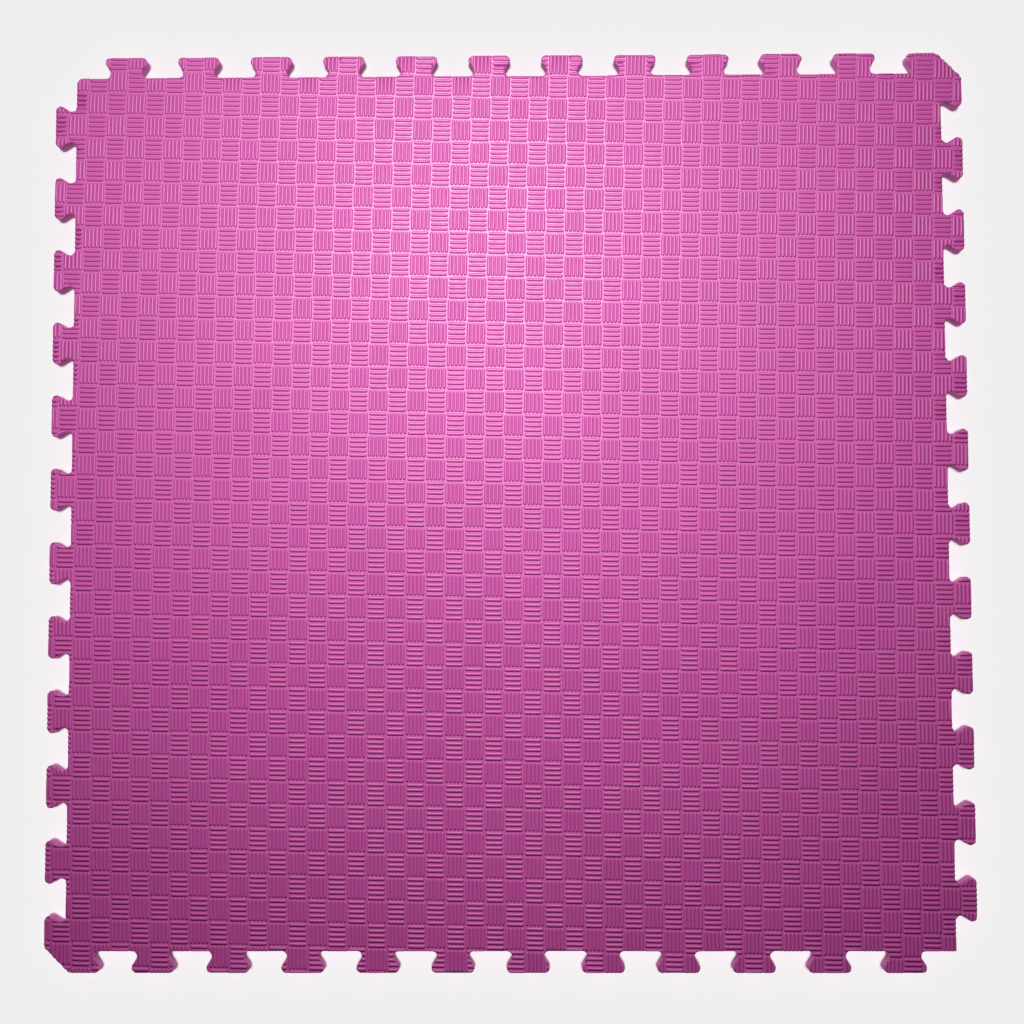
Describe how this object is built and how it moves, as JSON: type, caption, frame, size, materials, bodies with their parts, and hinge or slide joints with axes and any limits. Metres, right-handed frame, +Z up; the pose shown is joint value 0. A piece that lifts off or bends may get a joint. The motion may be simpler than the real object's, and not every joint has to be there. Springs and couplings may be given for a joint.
{
  "type": "interlocking foam floor tile",
  "caption": "Square closed-cell foam floor tile with a basket-weave embossed top and flared jigsaw teeth along all four edges, for laying a soft exercise floor.",
  "frame": {"origin": "middle of the underside, on the floor", "axes": "+X and +Y along the tile's edges, towards the edges that share the corner tooth at +X +Y; +Z up, out of the embossed face"},
  "size_m": [1.0234, 1.0234, 0.02],
  "materials": {
    "skin": "satin embossed foam skin",
    "foam": "matte cut closed-cell foam"
  },
  "bodies": {
    "root": {"top_skin": "skin", "body_field": "foam", "north_teeth": "foam", "east_teeth": "foam", "south_teeth": "foam", "west_teeth": "foam", "north_east_corner_tooth": "foam", "south_west_corner_tooth": "foam"}
  },
  "joints": []
}
